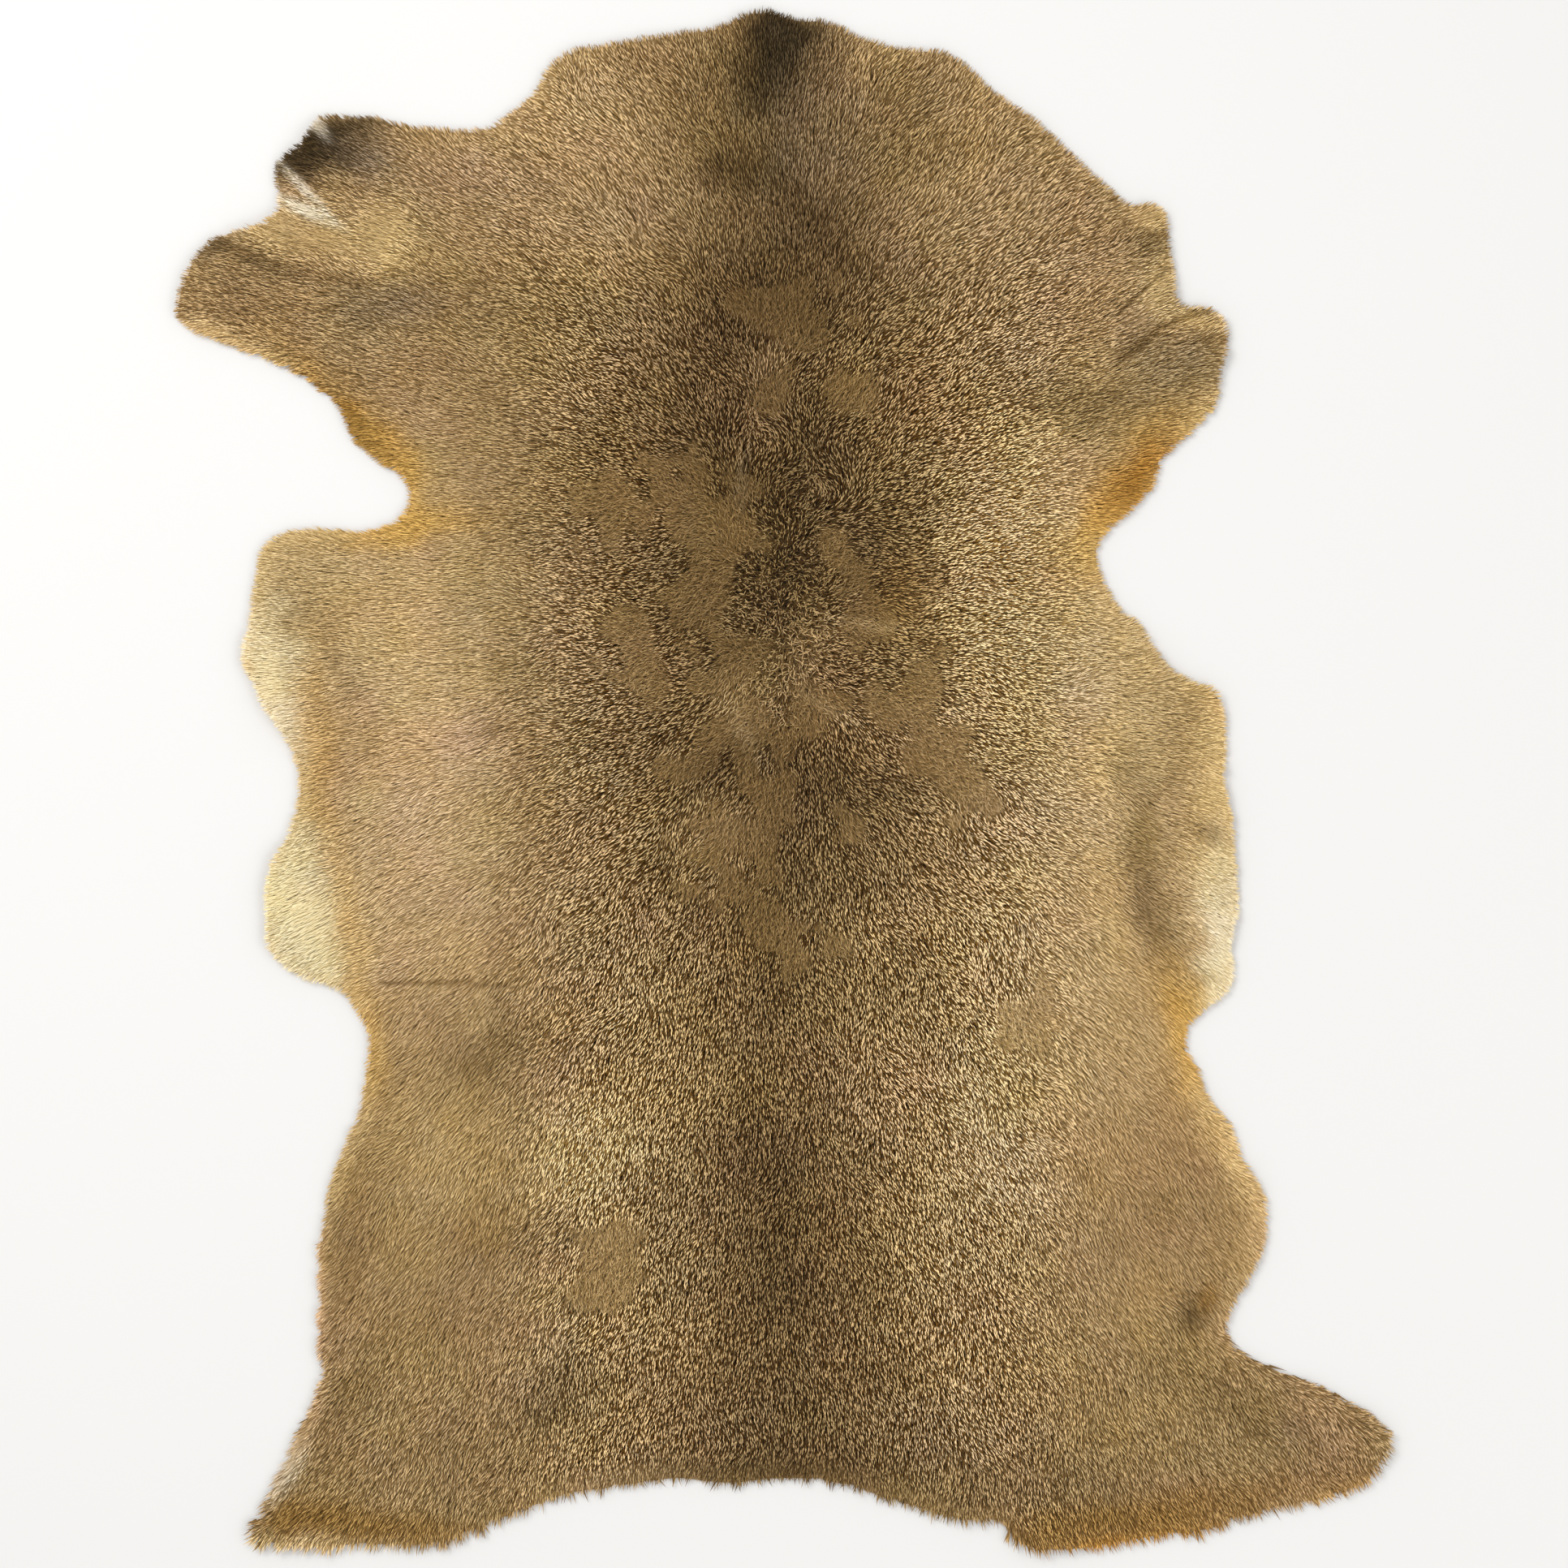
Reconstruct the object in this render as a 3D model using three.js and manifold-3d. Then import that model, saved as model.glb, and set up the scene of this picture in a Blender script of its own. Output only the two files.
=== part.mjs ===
// A deer hide rug: one tanned skin with its hair on, lying flat on the floor, hair side up.
// Units are millimetres, +Z is up and the floor is z = 0. The skin is seen from above with its
// narrow end towards +Y, and the origin is on the floor under the middle of its outer box.
// It is one piece, so it is one solid: leather and lying hair together, cut to the rim below.

import * as THREE from 'three';
import { mergeVertices } from 'three/addons/utils/BufferGeometryUtils.js';
import Module from 'manifold-3d';

const wasm = await Module();
wasm.setup();

// Driving sizes.
const LEATHER = 2.0;        // thickness of the tanned skin
const PILE_BODY = 6.5;      // depth of the lying hair over the back and sides
const PILE_RIM = 1.6;       // depth of the hair at the rim, where it thins out
const RIM_FADE = 32;        // how far in from the rim the hair takes to reach its full depth
const LOCK_RELIEF = 0.9;    // how far the locks rise and fall over the body
const SURFACE_STEP = 19;    // spacing of the points on the hair side
const STEP_SHIFT = 3;       // how far those points stray from an even net
const UNCUT_MARGIN = 20;    // how far the uncut blocks go past the rim on each side
const BLOCK_DEPTH = 10;     // how far they go below the floor
const SHEET_LENGTH = 1101;  // the hide from its wide end to its narrow end
const SHEET_WIDTH = 870;    // the hide across its widest point
const PARTING_Y = 110;      // the hair lies away from a point on the back at this height
const CUT_HEIGHT = 60;      // tall enough to pass right through the highest fold
const FLOOR_GAP = 0.05;     // the least lift that parts the skin from the floor

// The rim, clockwise from the left end of the narrow end. Each stretch has the usual width of a
// lock of hair along it, how far the locks stand out of it, and its points as x, y.
const RIM = [
  { stretch: 'neck', lock: 9, depth: 3.5, points: [
    [-210, 466], [-193, 479], [-180, 488], [-170, 507], [-158, 518], [-133, 524], [-102, 529],
    [-76, 534], [-47, 537], [-30, 547], [-10, 549], [8, 543], [34, 541], [50, 532], [70, 526],
    [92, 521], [111, 521]] },
  { stretch: 'right shoulder', lock: 10, depth: 3.5, points: [
    [128, 511], [147, 494], [160, 484], [177, 473], [190, 460], [212, 440], [231, 422],
    [249, 410]] },
  { stretch: 'right foreleg', lock: 9, depth: 3.5, points: [
    [258, 413], [269, 409], [273, 398], [274, 380], [278, 360], [278, 341], [298, 339],
    [313, 331], [315, 308], [310, 289], [308, 268], [297, 255], [281, 239], [268, 228],
    [265, 213], [255, 201], [240, 185], [225, 172], [223, 161]] },
  { stretch: 'right flank', lock: 11, depth: 2.5, points: [
    [230, 140], [241, 122], [253, 115], [261, 100], [271, 85], [291, 72], [306, 68], [312, 49],
    [315, 30], [312, 5], [318, -22], [321, -60], [323, -89], [317, -112], [320, -137],
    [313, -151], [300, -160], [288, -172], [286, -187], [294, -203]] },
  { stretch: 'right hind leg', lock: 10, depth: 4, points: [
    [300, -219], [309, -232], [321, -246], [326, -267], [338, -284], [343, -302], [340, -335],
    [330, -353], [318, -373], [315, -392], [331, -405], [366, -420], [397, -435], [420, -449],
    [433, -466], [424, -483], [411, -500]] },
  { stretch: 'right of the wide end', lock: 11, depth: 8, points: [
    [395, -505], [384, -511], [361, -514], [341, -522], [316, -524], [305, -533], [271, -536],
    [232, -543], [194, -548], [170, -547], [160, -541], [152, -527]] },
  { stretch: 'middle of the wide end', lock: 10, depth: 8, points: [
    [125, -527], [100, -520], [72, -512], [48, -503], [20, -497], [-10, -498], [-50, -500],
    [-85, -497], [-110, -503], [-131, -504]] },
  { stretch: 'left of the wide end', lock: 12, depth: 9, points: [
    [-150, -509], [-178, -518], [-205, -527], [-232, -540], [-262, -545], [-295, -543],
    [-325, -546], [-362, -542], [-379, -543], [-383, -536]] },
  { stretch: 'left hind leg', lock: 10, depth: 3, points: [
    [-371, -512], [-356, -483], [-346, -460], [-336, -437], [-330, -421], [-332, -398],
    [-332, -374], [-332, -350], [-332, -325], [-327, -303], [-324, -283], [-315, -260],
    [-305, -238], [-300, -218], [-297, -194], [-296, -178], [-304, -164], [-313, -149]] },
  { stretch: 'left flank', lock: 11, depth: 2.5, points: [
    [-333, -143], [-352, -134], [-366, -118], [-369, -90], [-366, -58], [-353, -36],
    [-346, -10], [-347, 14], [-357, 34], [-372, 56], [-381, 76], [-387, 88], [-381, 112],
    [-377, 140], [-373, 164], [-357, 178], [-330, 181], [-295, 180], [-272, 190],
    [-266, 203], [-273, 217]] },
  { stretch: 'left foreleg', lock: 9, depth: 4, points: [
    [-290, 227], [-308, 243], [-316, 263], [-335, 280], [-358, 294], [-390, 306], [-425, 321],
    [-433, 331], [-430, 352], [-420, 373], [-404, 389], [-382, 395], [-366, 400], [-359, 411],
    [-363, 428], [-363, 441], [-350, 449], [-339, 462], [-331, 474], [-310, 474],
    [-290, 473], [-265, 468], [-240, 465]] },
];

// Where the skin was pegged out to dry, its left edge is drawn into a row of small tabs.
const PEG_TABS = { top: -315, bottom: -422, pitch: 25, depth: 4 };

// The soft folds that the skin keeps. Each is a ridge along a line from x1, y1 to x2, y2, raised
// by lift, and reach is how far its slopes run out on both sides.
const FOLDS = [
  { fold: 'cuff of the left foreleg', x1: -398, y1: 402, x2: -302, y2: 374, reach: 24, lift: 5 },
  { fold: 'lobe of the left foreleg', x1: -348, y1: 462, x2: -318, y2: 432, reach: 26, lift: 4 },
  { fold: 'tip of the left foreleg', x1: -420, y1: 352, x2: -396, y2: 336, reach: 26, lift: 5 },
  { fold: 'top of the right foreleg', x1: 262, y1: 386, x2: 236, y2: 366, reach: 18, lift: 5 },
  { fold: 'middle of the right foreleg', x1: 280, y1: 349, x2: 236, y2: 314, reach: 15, lift: 6 },
  { fold: 'foot of the right foreleg', x1: 302, y1: 307, x2: 262, y2: 286, reach: 24, lift: 6 },
  { fold: 'corner of the right flank', x1: 262, y1: 93, x2: 300, y2: 52, reach: 18, lift: 5 },
  { fold: 'roll of the right flank', x1: 290, y1: -6, x2: 292, y2: -108, reach: 28, lift: 10 },
  { fold: 'right hind leg', x1: 318, y1: -345, x2: 324, y2: -288, reach: 22, lift: 5 },
  { fold: 'tip of the right hind leg', x1: 378, y1: -456, x2: 420, y2: -468, reach: 24, lift: 6 },
  { fold: 'step beside the tail', x1: 168, y1: -542, x2: 208, y2: -534, reach: 18, lift: 5 },
  { fold: 'corner of the wide end', x1: -370, y1: -532, x2: -338, y2: -534, reach: 22, lift: 4 },
  { fold: 'left hip', x1: -298, y1: -118, x2: -212, y2: -124, reach: 30, lift: 5 },
  { fold: 'upper roll of the left flank', x1: -367, y1: 98, x2: -360, y2: 38, reach: 24, lift: 8 },
  { fold: 'lower roll of the left flank', x1: -352, y1: -54, x2: -351, y2: -116, reach: 24, lift: 7 },
];

// The lying hair rises and falls in long, low swells: their length, their heading in degrees and
// their share of the relief.
const SWELLS = [
  { length: 74, heading: 20, share: 0.4 },
  { length: 97, heading: 75, share: 0.35 },
  { length: 61, heading: 130, share: 0.25 },
];

// A seeded run of random numbers, so that the locks come out the same each time.
const RANDOM_RANGE = 2147483647;
const RANDOM_STEP = 16807;
let seed = 20;

function between(low, high) {
  seed = (seed * RANDOM_STEP) % RANDOM_RANGE;
  return low + (high - low) * (seed / RANDOM_RANGE);
}

// The unit direction in which the hair lies at x, y, away from the parting on the back.
function hairLie(x, y) {
  const across = x;
  const along = (y - PARTING_Y) * (y > PARTING_Y ? 0.6 : 0.9);
  return new THREE.Vector2(across, along).normalize();
}

function rimCurve() {
  const points = RIM.flatMap((row) => row.points.map(([x, y]) => new THREE.Vector3(x, y, 0)));
  const curve = new THREE.CatmullRomCurve3(points, true, 'centripetal');
  curve.arcLengthDivisions = 3000;
  return curve;
}

// How far the rim stands out for the row of small tabs on the left edge.
function pegTab(point) {
  const onTabs = point.x < 0 && point.y < PEG_TABS.top && point.y > PEG_TABS.bottom;
  if (!onTabs) return 0;
  const turns = (PEG_TABS.top - point.y) / PEG_TABS.pitch;
  return -0.5 * PEG_TABS.depth * Math.cos(2 * Math.PI * turns);
}

// The cut outline: a notch and a tip for each lock, with the tip leaning the way the hair lies.
function lockedRim(curve) {
  const owners = RIM.flatMap((row) => row.points.map(() => row));
  const length = curve.getLength();
  const corners = [];

  function corner(distance, reach) {
    const point = curve.getPointAt(distance / length);
    const tangent = curve.getTangentAt(distance / length);
    const outward = new THREE.Vector2(-tangent.y, tangent.x);
    const lie = hairLie(point.x, point.y);
    const leaning = reach > 0 && lie.dot(outward) > 0.3;
    const heading = leaning ? lie.add(outward).normalize() : outward;
    const shift = reach + pegTab(point);
    corners.push(new THREE.Vector2(point.x + heading.x * shift, point.y + heading.y * shift));
  }

  let walked = 0;
  while (walked < length - 6) {
    const t = curve.getUtoTmapping(walked / length);
    const row = owners[Math.floor(t * owners.length) % owners.length];
    const width = Math.min(row.lock * between(0.7, 1.45), length - walked);
    corner(walked, -row.depth * between(0.35, 0.75));
    corner(walked + width / 2, row.depth * between(0.15, 0.5));
    walked += width;
  }
  return corners;
}

function distanceToLine(x, y, { x1, y1, x2, y2 }) {
  const start = new THREE.Vector2(x1, y1);
  const line = new THREE.Vector2(x2, y2).sub(start);
  const offset = new THREE.Vector2(x, y).sub(start);
  const share = THREE.MathUtils.clamp(offset.dot(line) / line.lengthSq(), 0, 1);
  return offset.sub(line.multiplyScalar(share)).length();
}

// How far the folds hold the skin off the floor at x, y.
function skinLift(x, y) {
  let lift = 0;
  for (const fold of FOLDS) {
    const near = 1 - Math.min(1, distanceToLine(x, y, fold) / fold.reach);
    lift = Math.max(lift, fold.lift * THREE.MathUtils.smoothstep(near, 0, 1));
  }
  return lift;
}

function swell(x, y) {
  let sum = 0;
  for (const { length, heading, share } of SWELLS) {
    const angle = THREE.MathUtils.degToRad(heading);
    const along = x * Math.cos(angle) + y * Math.sin(angle);
    sum += share * Math.sin((2 * Math.PI * along) / length + 2 * Math.sin(along / 160));
  }
  return sum;
}

// Thickness of leather and hair together, thinner towards the rim.
function thickness(x, y, rimSamples) {
  let nearest = Infinity;
  for (const sample of rimSamples) nearest = Math.min(nearest, Math.hypot(sample.x - x, sample.y - y));
  const full = THREE.MathUtils.smoothstep(nearest, 0, RIM_FADE);
  const pile = PILE_RIM + (PILE_BODY - PILE_RIM) * full;
  return LEATHER + pile + LOCK_RELIEF * full * swell(x, y);
}

// A block that is larger than the hide all round, with a level bottom below the floor and a top
// that follows heightAt.
function reliefBlock(heightAt) {
  const width = SHEET_WIDTH + 2 * UNCUT_MARGIN;
  const length = SHEET_LENGTH + 2 * UNCUT_MARGIN;
  const across = Math.round(width / SURFACE_STEP);
  const along = Math.round(length / SURFACE_STEP);
  const block = new THREE.BoxGeometry(width, length, 1, across, along, 1);
  const position = block.attributes.position;
  for (let i = 0; i < position.count; i += 1) {
    const evenX = position.getX(i);
    const evenY = position.getY(i);
    const x = evenX + STEP_SHIFT * Math.sin(0.31 * evenX + 0.83 * evenY);
    const y = evenY + STEP_SHIFT * Math.sin(0.67 * evenX - 0.42 * evenY);
    position.setXYZ(i, x, y, position.getZ(i) > 0 ? heightAt(x, y) : -BLOCK_DEPTH);
  }
  return block;
}

function solidFrom(geometry) {
  geometry.deleteAttribute('normal');
  geometry.deleteAttribute('uv');
  const merged = mergeVertices(geometry, 1e-4);
  return new wasm.Manifold(new wasm.Mesh({
    numProp: 3,
    vertProperties: new Float32Array(merged.attributes.position.array),
    triVerts: new Uint32Array(merged.index.array),
  }));
}

function geometryFrom(solid) {
  const mesh = solid.getMesh();
  const geometry = new THREE.BufferGeometry();
  geometry.setAttribute('position', new THREE.BufferAttribute(mesh.vertProperties, 3));
  geometry.setIndex(new THREE.BufferAttribute(mesh.triVerts, 1));
  geometry.computeVertexNormals();
  return geometry;
}

// The rim is cut straight down to the floor, the hair side is laid on it, and the space under
// the raised folds is taken away. The locks are uneven, so the result is moved by less than a
// millimetre to stand its outer box on the origin.
function hideGeometry() {
  const curve = rimCurve();
  const rimSamples = curve.getSpacedPoints(500);
  const cut = new THREE.ExtrudeGeometry(new THREE.Shape(lockedRim(curve)), {
    depth: CUT_HEIGHT,
    bevelEnabled: false,
  });
  const hairSide = reliefBlock((x, y) => skinLift(x, y) + thickness(x, y, rimSamples));
  const underFolds = reliefBlock((x, y) => skinLift(x, y) - FLOOR_GAP);
  const solid = solidFrom(cut).intersect(solidFrom(hairSide)).subtract(solidFrom(underFolds));
  const geometry = geometryFrom(solid);
  geometry.computeBoundingBox();
  const middle = geometry.boundingBox.getCenter(new THREE.Vector3());
  return geometry.translate(-middle.x, -middle.y, 0);
}

const hair = new THREE.MeshStandardMaterial({ color: 0xa58a64, roughness: 0.85, metalness: 0 });
const hide = new THREE.Mesh(hideGeometry(), hair);
hide.name = 'hide';

const rug = new THREE.Group();
rug.add(hide);

export default rug;
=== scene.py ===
"""A deer hide rug lying on a pale floor, seen from straight above.

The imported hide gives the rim, the folds and the height of the hair. Here it becomes a tanned skin
with a suede flesh side, and a coat of lying hair in layers, from the soft undercoat to the
flecked outer hairs and the locks along the rim. Lengths in the tables are millimetres, turns are
degrees from +X towards +Y, and +Y is the narrow end of the hide.
"""

import math
from collections import namedtuple

import bmesh
import bpy
import numpy as np
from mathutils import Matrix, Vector
from mathutils.bvhtree import BVHTree
from mathutils.kdtree import KDTree


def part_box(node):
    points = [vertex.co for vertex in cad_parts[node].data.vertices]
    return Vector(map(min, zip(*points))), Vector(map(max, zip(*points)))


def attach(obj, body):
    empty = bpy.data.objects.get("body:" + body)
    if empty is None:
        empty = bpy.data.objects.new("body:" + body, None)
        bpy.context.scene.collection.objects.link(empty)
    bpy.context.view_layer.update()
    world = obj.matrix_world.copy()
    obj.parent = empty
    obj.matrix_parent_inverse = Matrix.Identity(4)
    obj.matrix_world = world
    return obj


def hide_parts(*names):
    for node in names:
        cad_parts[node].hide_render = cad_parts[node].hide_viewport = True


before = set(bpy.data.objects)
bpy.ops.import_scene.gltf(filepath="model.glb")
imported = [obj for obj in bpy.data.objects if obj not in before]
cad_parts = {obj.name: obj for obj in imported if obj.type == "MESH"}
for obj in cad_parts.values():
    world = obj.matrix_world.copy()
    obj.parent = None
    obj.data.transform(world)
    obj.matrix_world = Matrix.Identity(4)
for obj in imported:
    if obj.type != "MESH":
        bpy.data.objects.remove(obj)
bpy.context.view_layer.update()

MM = 0.001
LEATHER = 1.5  # thickness of the tanned skin
SKIN_INSET = 2.2  # how far the cut edge of the skin lies inside the tips of the rim's locks
SKIN_STEP = 8.0  # size of the skin's faces
SKIN_ROUNDS = 4  # how often the border of the skin is moved onto that edge
SLOPE_REACH = 3.0  # how far to each side the slope towards that edge is measured
LEAST_SLOPE = 0.3  # and the least that it is taken for
EDGE_SOFTENED = 12  # how often the rim is softened into the line of that edge
TIPS_SOFTENED = 16  # how often it is softened into the line that the tips of the hair keep to
FOLDS_SOFTENED = 2  # how often the folds are softened
NET_STEP = 2.0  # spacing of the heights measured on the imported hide
NET_MARGIN = 24.0  # how far that net goes past the hide
RIM_STEP = 1.0  # spacing of the points measured along its rim
PROBE_GAP = 10.0  # how far above and below the hide its heights are measured from
HIDE_SHARE = 0.70  # about how much of its box the hide covers
FLOOR_HALF = 6000.0  # half the width of the floor
FLOOR_GAP = 0.3  # how far the floor lies below the hide
PHOTO_SIDE = 1111.0  # width of the square picture at the floor
CAMERA_HEIGHT = 3200.0
SENSOR = 36.0  # width of the camera's sensor

# Colours of the coat, the skin and the floor, as red, green and blue from 0 to 255.
COLOURS = {
    "black": (43, 31, 9),
    "umber": (84, 64, 35),
    "brown": (128, 103, 66),
    "tan": (168, 140, 98),
    "sand": (206, 180, 136),
    "honey": (216, 188, 136),
    "cream": (250, 238, 202),
    "gold": (198, 158, 82),
    "orange": (166, 120, 50),
    "ochre": (140, 106, 54),
    "beige": (200, 172, 124),
    "grey": (118, 102, 80),
    "pale": (228, 218, 196),
    "rose": (168, 140, 106),
    "skin": (210, 176, 136),
    "rubbed": (140, 111, 71),
    "suede": (196, 160, 116),
    "pale suede": (232, 208, 170),
    "roots": (116, 92, 60),
    "pale roots": (172, 142, 100),
    "floor": (216, 215, 213),
}

# The dark stripe down the back: where its middle lies across the hide, its half width and how
# much it darkens the coat there, for heights y along the hide.
STRIPE_COLUMNS = ("y", "middle", "half", "dark")
STRIPE = (
    (560, -6, 34, 0.72),
    (500, -8, 46, 0.68),
    (455, -8, 62, 0.56),
    (410, 2, 72, 0.60),
    (360, -6, 84, 0.75),
    (310, -18, 96, 0.72),
    (250, -16, 112, 0.70),
    (200, -10, 120, 0.74),
    (150, -4, 122, 0.74),
    (100, -10, 112, 0.66),
    (50, -10, 108, 0.66),
    (0, 6, 112, 0.74),
    (-50, 6, 104, 0.58),
    (-100, -10, 80, 0.52),
    (-150, -8, 74, 0.44),
    (-200, -12, 66, 0.40),
    (-260, -4, 66, 0.58),
    (-320, -2, 66, 0.62),
    (-400, 0, 70, 0.58),
    (-480, 2, 84, 0.62),
    (-560, 4, 90, 0.62),
)
STRIPE_EDGE = 1.7  # how firm the edge of the stripe is
STRIPE_LEAST = 0.05  # how much the coat darkens even beside it
BROWN_SHADES = (0.0, 0.5)  # between these shades tan turns to brown
UMBER_SHADES = (0.4, 1.0)  # and between these to umber

# How the hair lies. It parts along the back between two heights y at the withers, runs from there
# towards the neck and the tail, and spreads to the sides.
PARTING_LOW, PARTING_HIGH = 100, 150
SPREAD_TO_NECK = 2.3
SPREAD_TO_TAIL = 1.15
SPREAD_CHANGE = 60  # how far past the lower of those heights the spread changes
RIM_REACH = 4  # how far to each side the way to the nearest rim is measured
RIM_LEAN = 0.45  # how far the hair at the rim turns to fall outward over it

# Bands over which a zone of the hide begins or ends: two heights y, two distances to each side of
# the middle, or two distances in from the rim.
WIDE_END_BAND = (-490, -440)
HIND_LEG_BAND = (-440, -340)
BELLY_LOW_BAND = (-400, -300)
BELLY_HIGH_BAND = (200, 280)
FORELEG_BAND = (220, 320)
NECK_BAND = (300, 420)
FLANK_BAND = (130, 240)
FLANK_MIDDLE = 10  # x of the middle that the flanks are measured from
RIM_LEAN_BAND = (5, 14)
RIM_BAND = (5, 15)
RIM_SILK_BAND = (2, 22)

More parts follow.
